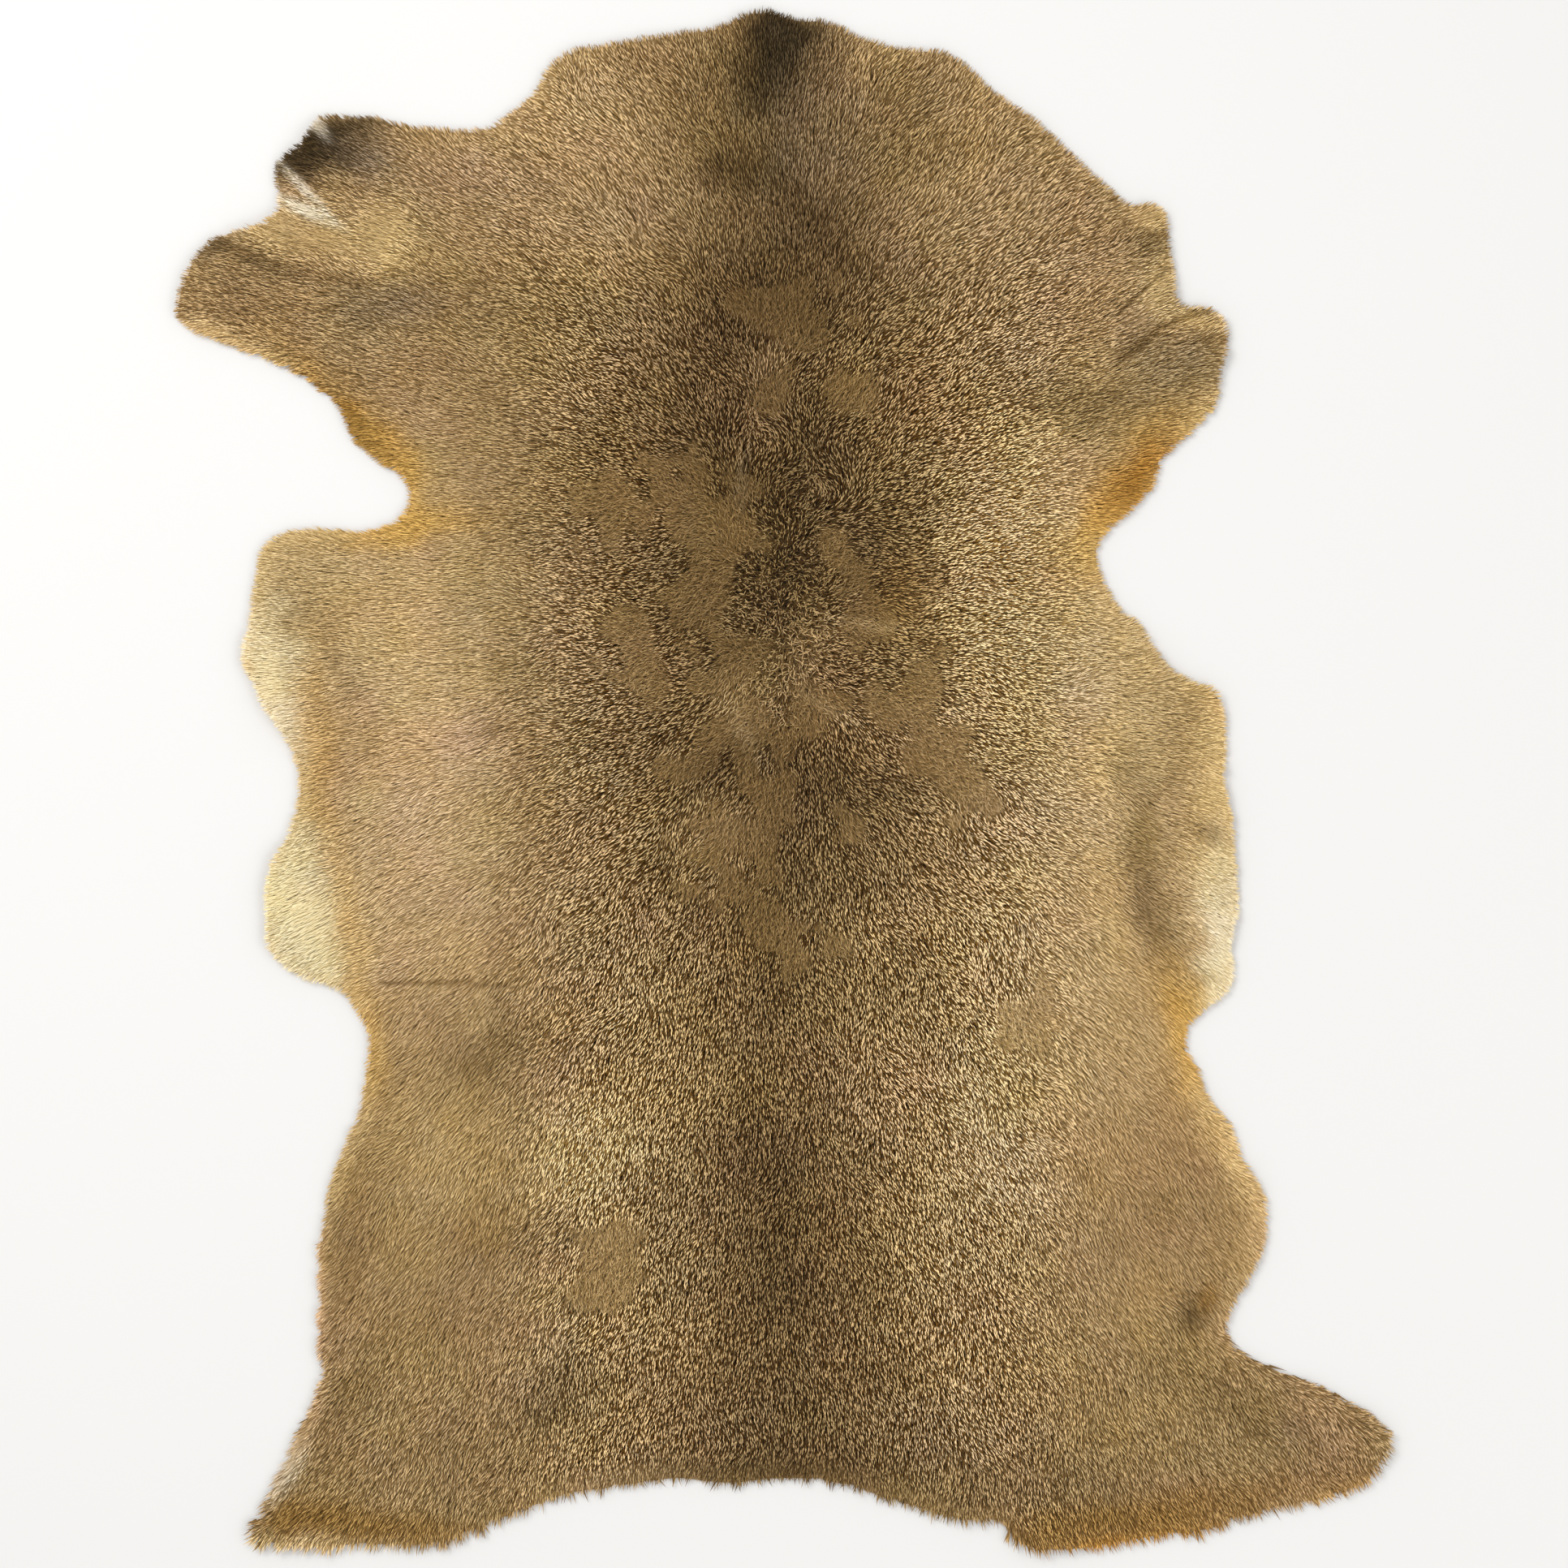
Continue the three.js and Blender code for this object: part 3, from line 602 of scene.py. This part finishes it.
def rubbed_share(x, y):
    """How far the coat is rubbed flat at each x, y, from 0 to 1."""
    share = np.zeros(len(x))
    for place in named(RUBBED_COLUMNS, RUBBED):
        distance = np.hypot(x - place.x * MM, y - place.y * MM) / (place.reach * MM)
        share = np.maximum(share, 1 - distance)
    worn = smooth(*RUBBED_EDGE, share + clouds(x, y, WORN_EDGES))
    return worn * smooth(*RUBBED_LIMIT, share)


def creased(x, y):
    """How deep in a crease each x, y lies, from 0 to 1."""
    depth = np.zeros(len(x))
    for crease in named(CREASE_COLUMNS, CREASES):
        from_x, from_y = x - crease.x1 * MM, y - crease.y1 * MM
        run_x, run_y = (crease.x2 - crease.x1) * MM, (crease.y2 - crease.y1) * MM
        share = np.clip((from_x * run_x + from_y * run_y) / (run_x ** 2 + run_y ** 2), 0, 1)
        off = np.hypot(from_x - share * run_x, from_y - share * run_y) / (crease.half * MM)
        depth = np.maximum(depth, crease.deep * np.exp(-off * off))
    return depth


def stripe_at(y):
    """The middle, half width and darkness of the dark stripe at each height y."""
    stripe = named(STRIPE_COLUMNS, reversed(STRIPE))
    heights = [row.y * MM for row in stripe]
    middle = np.interp(y, heights, [row.middle * MM for row in stripe])
    half = np.interp(y, heights, [row.half * MM for row in stripe])
    dark = np.interp(y, heights, [row.dark for row in stripe])
    return middle, half, dark


def coat(x, y, depth):
    """The coat's linear colour at each x, y, depth in from the rim, and how plain its hairs are."""
    middle, half, dark = stripe_at(y)
    off = np.abs(x - middle) / half
    shade = dark * np.exp(-(off ** STRIPE_EDGE)) + STRIPE_LEAST + clouds(x, y, MOTTLING)
    colour = covered(linear(COLOURS["tan"])[:, None], "brown", smooth(*BROWN_SHADES, shade))
    colour = covered(colour, "umber", smooth(*UMBER_SHADES, shade))

    silky = SILKY_FLANKS * past(FLANK_BAND, np.abs(x - FLANK_MIDDLE * MM))
    legs = past(FORELEG_BAND, y) + 1 - past(HIND_LEG_BAND, y)
    silky *= 1 - COARSE_LEGS * legs
    plain = np.maximum(silky, SILKY_NECK * past(NECK_BAND, y))
    rim = 1 - past(RIM_BAND, depth)
    belly = past(BELLY_LOW_BAND, y) * (1 - past(BELLY_HIGH_BAND, y))
    colour = covered(colour, "honey", GOLD_RIM * rim * belly)
    plain = np.maximum(plain, BELLY_RIM_PLAIN * rim * belly)

    stray_x, stray_y = (cloud(x, y, RAGGED_WIDTH, seed) for seed in RAGGED_SEEDS)
    for patch in named(PATCH_COLUMNS, PATCHES):
        angle = math.radians(patch.turn)
        dx = x - (patch.x + RAGGED * patch.across * stray_x) * MM
        dy = y - (patch.y + RAGGED * patch.across * stray_y) * MM
        u = (dx * math.cos(angle) + dy * math.sin(angle)) / (patch.along * MM)
        v = (dy * math.cos(angle) - dx * math.sin(angle)) / (patch.across * MM)
        share = np.exp(-((u * u + v * v) ** PATCH_EDGE))
        colour = covered(colour, patch.colour, patch.strength * share)
        plain = np.maximum(plain, patch.plain * share)
    # Painted shade: the coat's colour is darkened along the creases.
    colour *= 1 - np.array(CREASE_SHADE)[:, None] * creased(x, y)

    rosy = np.maximum(ROSY_MEAN + clouds(x, y, ROSINESS), ROSY_LEAST)
    colour *= 1 + np.outer(BY_WARM, clouds(x, y, WARMTH)) + np.outer(BY_ROSY, rosy)
    return colour.T, plain


def matte(name, colour, roughness):
    """A new material with a Principled shader, and its nodes and links."""
    material = bpy.data.materials.new(name)
    material.use_nodes = True
    nodes, links = material.node_tree.nodes, material.node_tree.links
    shader = nodes["Principled BSDF"]
    shader.inputs["Base Color"].default_value = (*linear(colour), 1.0)
    shader.inputs["Roughness"].default_value = roughness
    return material, nodes, links, shader


def strand_value(nodes, name):
    """A node that reads one of the values that each strand carries."""
    value = nodes.new("ShaderNodeAttribute")
    value.attribute_name = name
    return value


def hair_material(look):
    """Hair that is dark at its root, pale in a band below its tip, and dark again at the tip."""
    material, nodes, links, shader = matte(look.name, COLOURS["tan"], 0.62)
    shader.inputs["Specular IOR Level"].default_value = 0.20
    shader.inputs["Specular Tint"].default_value = (1.0, 0.86, 0.62, 1.0)
    shader.inputs["Sheen Weight"].default_value = 0.06
    shader.inputs["Sheen Roughness"].default_value = 0.45
    shader.inputs["Sheen Tint"].default_value = (1.0, 0.82, 0.56, 1.0)

    bands = nodes.new("ShaderNodeValToRGB")
    for place in (ROOT_ENDS, BAND_BEGINS, BAND_ENDS):
        bands.color_ramp.elements.new(place)
    shades = (look.root, look.root, look.band, look.band, look.tip)
    for stop, shade in zip(bands.color_ramp.elements, shades):
        deep = max(0.0, 1.0 - shade)
        stop.color = (*(shade * (1 - fall * deep) for fall in SHADE_FALL), 1.0)
    links.new(strand_value(nodes, "along").outputs["Fac"], bands.inputs["Fac"])

    # A Mix node of colours has its factor in socket 0, its colours in 6 and 7 and its result in 2.
    even = nodes.new("ShaderNodeMix")
    even.data_type = "RGBA"
    even.inputs[7].default_value = (EVEN_SHADE, EVEN_SHADE, EVEN_SHADE, 1.0)
    links.new(strand_value(nodes, "plain").outputs["Fac"], even.inputs[0])
    links.new(bands.outputs["Color"], even.inputs[6])

    tint = nodes.new("ShaderNodeMix")
    tint.data_type = "RGBA"
    tint.blend_type = "MULTIPLY"
    tint.inputs[0].default_value = 1.0
    links.new(strand_value(nodes, "coat").outputs["Color"], tint.inputs[6])
    links.new(even.outputs[2], tint.inputs[7])
    links.new(tint.outputs[2], shader.inputs["Base Color"])
    return material


def mottled(nodes, links, scale, low, high):
    """A noise on the piece that runs between two of the colours, and its ramp."""
    place = nodes.new("ShaderNodeTexCoord")
    noise = nodes.new("ShaderNodeTexNoise")
    noise.inputs["Scale"].default_value = scale
    links.new(place.outputs["Object"], noise.inputs["Vector"])
    tones = nodes.new("ShaderNodeValToRGB")
    tones.color_ramp.elements[0].color = (*linear(COLOURS[low]), 1.0)
    tones.color_ramp.elements[1].color = (*linear(COLOURS[high]), 1.0)
    links.new(noise.outputs["Fac"], tones.inputs["Fac"])
    return place, noise, tones


def suede_material():
    """The flesh side: pale suede, a little cloudy, with a fine nap."""
    material, nodes, links, shader = matte("flesh side suede", COLOURS["skin"], 0.9)
    place, noise, tones = mottled(nodes, links, 14.0, "suede", "pale suede")
    noise.inputs["Detail"].default_value = 6.0
    tones.color_ramp.elements[0].position = 0.35
    tones.color_ramp.elements[1].position = 0.7
    links.new(tones.outputs["Color"], shader.inputs["Base Color"])
    nap = nodes.new("ShaderNodeTexNoise")
    nap.inputs["Scale"].default_value = 900.0
    links.new(place.outputs["Object"], nap.inputs["Vector"])
    bump = nodes.new("ShaderNodeBump")
    bump.inputs["Strength"].default_value = 0.3
    bump.inputs["Distance"].default_value = 0.4 * MM
    links.new(nap.outputs["Fac"], bump.inputs["Height"])
    links.new(bump.outputs["Normal"], shader.inputs["Normal"])
    return material


def grain_material():
    """The hair side of the skin, dark with the roots of the hair."""
    material, nodes, links, shader = matte("hair roots", COLOURS["umber"], 0.9)
    tones = mottled(nodes, links, 420.0, "roots", "pale roots")[2]
    links.new(tones.outputs["Color"], shader.inputs["Base Color"])
    return material


def add_piece(name, mesh, materials):
    """A mesh placed in the scene as an object with its materials."""
    piece = bpy.data.objects.new(name, mesh)
    bpy.context.scene.collection.objects.link(piece)
    for material in materials:
        mesh.materials.append(material)
    return piece


def level_places(verts):
    """The x and the y of some vertices."""
    places = np.array([vert.co for vert in verts])
    return places[:, 0], places[:, 1]


def fit_border(border, edge, inset):
    """Moves the skin's border once towards the line that lies inset from the rim."""
    x, y = level_places(border)
    reach = SLOPE_REACH * MM
    slope_x = (edge.at(x + reach, y) - edge.at(x - reach, y)) / (2 * reach)
    slope_y = (edge.at(x, y + reach) - edge.at(x, y - reach)) / (2 * reach)
    steep = np.maximum(np.hypot(slope_x, slope_y), LEAST_SLOPE)
    move = (inset - edge.at(x, y)) / steep
    for vert, dx, dy in zip(border, move * slope_x / steep, move * slope_y / steep):
        vert.co.x += dx
        vert.co.y += dy


def skin_piece(lower, inside):
    """The tanned skin: a thin closed sheet that lies on the floor and follows the folds."""
    low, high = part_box("hide")
    shell = bmesh.new()
    step = SKIN_STEP * MM
    across, along = int((high.x - low.x) / step), int((high.y - low.y) / step)
    bmesh.ops.create_grid(shell, x_segments=across, y_segments=along, size=0.5)
    bmesh.ops.scale(shell, vec=(high.x - low.x, high.y - low.y, 1), verts=shell.verts)

    edge = inside.softened(EDGE_SOFTENED)
    inset = SKIN_INSET * MM
    verts = list(shell.verts)
    depths = edge.at(*level_places(verts))
    outside = [vert for vert, depth in zip(verts, depths) if depth < inset - 0.5 * step]
    bmesh.ops.delete(shell, geom=outside, context="VERTS")
    loose = [vert for vert in shell.verts if len(vert.link_faces) < 2]
    bmesh.ops.delete(shell, geom=loose, context="VERTS")
    border = [vert for vert in shell.verts if vert.is_boundary]
    for _ in range(SKIN_ROUNDS):
        fit_border(border, edge, inset)
    bmesh.ops.smooth_vert(shell, verts=border, factor=0.3, use_axis_x=True, use_axis_y=True)

    verts = list(shell.verts)
    for vert, height in zip(verts, lower.at(*level_places(verts))):
        vert.co.z = max(height, 0.0) + LEATHER * MM
    bmesh.ops.recalc_face_normals(shell, faces=shell.faces)
    mesh = bpy.data.meshes.new("skin")
    shell.to_mesh(mesh)
    shell.free()
    for face in mesh.polygons:
        face.use_smooth = True
    piece = add_piece("skin", mesh, (grain_material(), suede_material()))
    thick = piece.modifiers.new("thickness", "SOLIDIFY")
    thick.thickness = LEATHER * MM
    thick.offset = -1.0
    thick.material_offset = 1
    thick.material_offset_rim = 1
    return piece


def scattered(strands, inside, inset, chance):
    """Evenly scattered places on the hide, in rows from its wide end, inset from its rim."""
    low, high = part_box("hide")
    area = (high.x - low.x) * (high.y - low.y)
    step = math.sqrt(HIDE_SHARE * area / strands)
    xs = np.arange(low.x, high.x, step)
    ys = np.arange(low.y, high.y, step)
    x, y = (axis.ravel() for axis in np.meshgrid(xs, ys))
    x = x + chance.uniform(-SCATTER, SCATTER, len(x)) * step
    y = y + chance.uniform(-SCATTER, SCATTER, len(y)) * step
    held = inside.at(x, y) > inset
    return x[held], y[held]


def clump_offset(x, y, chance):
    """From each place to the middle of the lock of hair that it belongs to."""
    low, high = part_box("hide")
    pitch = CLUMP_PITCH * MM
    across = int((high.x - low.x) / pitch) + 3
    along = int((high.y - low.y) / pitch) + 3
    stray = chance.uniform(-CLUMP_STRAY, CLUMP_STRAY, (2, along, across))
    i = ((x - low.x) / pitch + 1).astype(int)
    j = ((y - low.y) / pitch + 1).astype(int)
    middle_x = low.x + (i - 0.5 + stray[0, j, i]) * pitch
    middle_y = low.y + (j - 0.5 + stray[1, j, i]) * pitch
    return middle_x - x, middle_y - y


def root_places(strands, inside, chance):
    """Where strands are rooted, further in where hair runs out over the rim, and how it lies."""
    x, y = scattered(strands, inside, RIM_INSET * MM, chance)
    out_x, out_y = outward(x, y, inside)
    lie_x, lie_y = lie_heading(x, y, inside)
    crossing = np.maximum(0, lie_x * out_x + lie_y * out_y)
    held = inside.at(x, y) > (RIM_INSET + (ROOT_INSET - RIM_INSET) * crossing) * MM
    return x[held], y[held], lie_x[held], lie_y[held]


def strand_headings(wander, root, lie, rubbed, silky, chance):
    """Which way each strand points: the lie of the hair there, and how far it strays from that."""
    x, y = root
    lie_x, lie_y = lie
    woolly, parted = oval(x, y, WOOLLY), oval(x, y, PARTED)
    stray = wander * (1 + RUBBED_STRAY * rubbed + woolly) * (1 - SILKY_CALM * silky)
    stray = stray + PARTED_STRAY * parted
    turn = np.radians(chance.normal(0, 1, len(x)) * stray)
    swirl = SWIRL * (1 - SILKY_SWIRL_CALM * silky) * cloud(x, y, SWIRL_WIDTH, SWIRL_SEED)
    swirl = swirl + WOOLLY_SWIRL * woolly * cloud(x, y, WOOLLY_WIDTH, WOOLLY_SEED)
    turn += np.radians(swirl)
    return (lie_x * np.cos(turn) - lie_y * np.sin(turn),
            lie_x * np.sin(turn) + lie_y * np.cos(turn))


def strand_tips(layer, root, heading, silky, inside, rim_line, chance):
    """Where each strand ends, leaning into its lock and kept near the line along the rim."""
    x, y = root
    long = layer.length * MM * chance.uniform(*LENGTHS, len(x)) * (1 + SILKY_LONGER * silky)
    lock_x, lock_y = clump_offset(x, y, chance)
    lean = layer.gather + RIM_GATHER * (1 - past(RIM_BAND, inside.at(x, y)))
    tip_x = x + heading[0] * long + lean * lock_x
    tip_y = y + heading[1] * long + lean * lock_y
    fringe = 1 - past(WIDE_END_BAND, tip_y)
    uneven = cloud(tip_x, tip_y, LOCK_WIDTH, LOCK_SEED) * (LOCK_DEPTH - FRINGE_CALM * fringe)
    uneven = uneven + chance.uniform(-STRAGGLE, STRAGGLE, len(x))
    room = (TIP_ROOM + FRINGE * fringe + uneven) * MM
    for _ in range(DRAW_ROUNDS):
        out = rim_line.at(tip_x, tip_y) < -room
        tip_x = np.where(out, x + DRAW_IN * (tip_x - x), tip_x)
        tip_y = np.where(out, y + DRAW_IN * (tip_y - y), tip_y)
    return tip_x, tip_y


def pile_height(x, y, share, lower, upper):
    """The height at a share of the way from the underside of the hide to the top of its hair."""
    low = lower.at(x, y)
    return low + share * (upper.at(x, y) - low)


def strand_colours(root, middle, rubbed, inside, chance):
    """The colour of each strand, from the coat under its middle, and how plain it is."""
    depth = inside.at(*middle)
    colour, plain = coat(*middle, depth)
    worn = linear(COLOURS["rubbed"]) * (1 + clouds(*root, WORN_TONES))[:, None]
    colour += (worn - colour) * (WORN_COVER * rubbed)[:, None]
    rim = 1 - past(RIM_SILK_BAND, depth)
    plain = np.maximum(plain, np.maximum(RUBBED_PLAIN * rubbed, SILKY_RIM * rim))

    total = len(rubbed)
    breaks = chance.integers(0, TURN_BREAKS, total) // (TURN_BREAKS - 1)
    light = (np.arange(total) + breaks) % 2 == 0
    tint = np.where(light[:, None], LIGHT_TINT, DARK_TINT)
    tint = tint * np.exp(chance.normal(0, TINT_SPREAD, total))[:, None]
    tint = 1 + (tint - 1) * (1 - plain)[:, None]
    gain_share = 1 - SHADELESS * smooth(*SHADELESS_PLAIN, plain)
    colour *= tint * (1 + (np.array(SHADE_GAIN) - 1) * gain_share[:, None])
    colour *= np.minimum(1, BRIGHTEST / colour.max(axis=1))[:, None]
    return colour, plain


def grow_layer(layer, lower, upper, inside, rim_line, material):
    """One layer of lying hair over the whole hide, as meshes of flat tapering strands."""
    chance = np.random.default_rng(layer.seed)
    x, y, lie_x, lie_y = root_places(layer.strands, inside, chance)
    total = len(x)
    rubbed = rubbed_share(x, y)
    silky = coat(x, y, inside.at(x, y))[1]
    heading = strand_headings(layer.wander, (x, y), (lie_x, lie_y), rubbed, silky, chance)
    tip_x, tip_y = strand_tips(layer, (x, y), heading, silky, inside, rim_line, chance)
    mid_x, mid_y = x + SHOULDER * (tip_x - x), y + SHOULDER * (tip_y - y)

    reach = layer.rise * chance.uniform(*RISES, total) * (1 - RUBBED_SINK * rubbed)
    sunk = CREASE_SINK * MM * layer.rise * creased(mid_x, mid_y)
    tip_z = pile_height(tip_x, tip_y, reach, lower, upper) - sunk
    mid_z = pile_height(mid_x, mid_y, SHOULDER_RISE * reach, lower, upper) - sunk
    root_low = lower.at(x, y) + ROOT_DEPTH * LEATHER * MM
    root_z = root_low + layer.foot * (upper.at(x, y) - root_low)
    stops = {
        "root": (x, y, np.maximum(root_z - layer.foot * sunk, root_low)),
        "shoulder": (mid_x, mid_y, np.maximum(mid_z, LOWEST_SHOULDER * MM)),
        "tip": (tip_x, tip_y, np.maximum(tip_z, LOWEST_TIP * MM)),
    }

    ahead_x, ahead_y = unit(tip_x - x, tip_y - y)
    half = 0.5 * layer.width * MM * chance.uniform(*WIDTHS, total) * (1 - SILKY_THINNER * silky)
    roll = chance.uniform(*ROLLS, total)
    corners = STRAND_CORNERS[layer.faces]
    verts = np.empty((total, len(corners), 3))
    for index, (stop, side, _cell) in enumerate(corners):
        px, py, pz = stops[stop]
        verts[:, index, 0] = px - side * half * ahead_y
        verts[:, index, 1] = py + side * half * ahead_x
        verts[:, index, 2] = pz + side * half * roll

    colour, plain = strand_colours((x, y), (mid_x, mid_y), rubbed, inside, chance)
    pieces = []
    for part in range(layer.pieces):
        own = slice(part, None, layer.pieces)
        pieces.append(strand_piece(f"{layer.name}_{part + 1}", layer.faces, verts[own], colour[own],
                                   plain[own], material))
    return pieces


def strand_piece(name, faces, verts, colour, plain, material):
    """A mesh of one or two triangles for each strand, with its colours and its bake map."""
    total, points = verts.shape[:2]
    order = np.array(STRAND_FACES[faces])
    stops, _sides, cells = zip(*STRAND_CORNERS[faces])
    mesh = bpy.data.meshes.new(name)
    mesh.vertices.add(total * points)
    mesh.vertices.foreach_set("co", verts.astype(np.float32).ravel())
    corners = (np.arange(total)[:, None] * points + order).ravel()
    mesh.loops.add(len(corners))
    mesh.loops.foreach_set("vertex_index", corners.astype(np.int32))
    mesh.polygons.add(len(corners) // 3)
    mesh.polygons.foreach_set("loop_start", np.arange(0, len(corners), 3, dtype=np.int32))
    mesh.update(calc_edges=True)

    along = np.tile(np.array([STOPS[stop] for stop in stops], np.float32), total)
    mesh.attributes.new("along", "FLOAT", "POINT").data.foreach_set("value", along)
    each = np.repeat(plain.astype(np.float32), points)
    mesh.attributes.new("plain", "FLOAT", "POINT").data.foreach_set("value", each)
    full = np.ones((total, points, 4), np.float32)
    full[:, :, :3] = colour[:, None, :]
    mesh.attributes.new("coat", "FLOAT_COLOR", "POINT").data.foreach_set("color", full.ravel())

    across = math.ceil(math.sqrt(total))
    index = np.arange(total)
    place = np.stack([index % across, index // across], axis=1)[:, None, :]
    spots = (place + np.array(cells)[order]) / across
    mesh.uv_layers.new(name="OFBake").data.foreach_set("uv", spots.astype(np.float32).ravel())
    return add_piece(name, mesh, (material,))


def floor_piece():
    """The plain pale floor."""
    shell = bmesh.new()
    bmesh.ops.create_grid(shell, x_segments=1, y_segments=1, size=FLOOR_HALF * MM)
    bmesh.ops.translate(shell, vec=(0, 0, -FLOOR_GAP * MM), verts=shell.verts)
    mesh = bpy.data.meshes.new("floor")
    shell.to_mesh(mesh)
    shell.free()
    return add_piece("floor", mesh, (matte("pale floor", COLOURS["floor"], 0.85)[0],))


def camera_above():
    """The camera, straight above the hide."""
    camera = bpy.data.objects.new("camera", bpy.data.cameras.new("camera"))
    bpy.context.scene.collection.objects.link(camera)
    camera.location = (0, 0, CAMERA_HEIGHT * MM)
    camera.data.sensor_width = SENSOR
    camera.data.lens = SENSOR * CAMERA_HEIGHT / PHOTO_SIDE
    camera.data.clip_end = 50
    bpy.context.scene.camera = camera


def soft_light(name, place, size, power):
    """A large square lamp at place that faces the middle of the hide."""
    lamp = bpy.data.lights.new(name, "AREA")
    lamp.size = size
    lamp.energy = power
    light = bpy.data.objects.new(name, lamp)
    bpy.context.scene.collection.objects.link(light)
    light.location = place
    light.rotation_euler = (-Vector(place)).to_track_quat("-Z", "Y").to_euler()
    light.visible_camera = False


def studio():
    """Soft white light from all round, and two large lamps."""
    world = bpy.data.worlds.new("studio")
    bpy.context.scene.world = world
    world.use_nodes = True
    background = world.node_tree.nodes["Background"]
    background.inputs["Color"].default_value = (1, 1, 1, 1)
    background.inputs["Strength"].default_value = 0.70
    soft_light("key", place=(-1.6, 1.4, 2.6), size=1.6, power=70)
    soft_light("fill", place=(1.8, -1.2, 2.4), size=2.2, power=36)
    bpy.context.scene.view_settings.view_transform = "Standard"


camera_above()
studio()
floor_piece()

lower_net, upper_net, inside_net = measure_hide(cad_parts["hide"])
lower_net = lower_net.softened(FOLDS_SOFTENED)
tip_line = inside_net.softened(TIPS_SOFTENED)
skin = skin_piece(lower_net, inside_net)
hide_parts("hide")
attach(skin, "root")

hair_looks = {look.layer: hair_material(look) for look in named(SHADE_COLUMNS, HAIR_SHADES)}
for layer in named(LAYER_COLUMNS, LAYERS):
    finish = hair_looks[layer.name]
    for hair in grow_layer(layer, lower_net, upper_net, inside_net, tip_line, finish):
        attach(hair, "root")
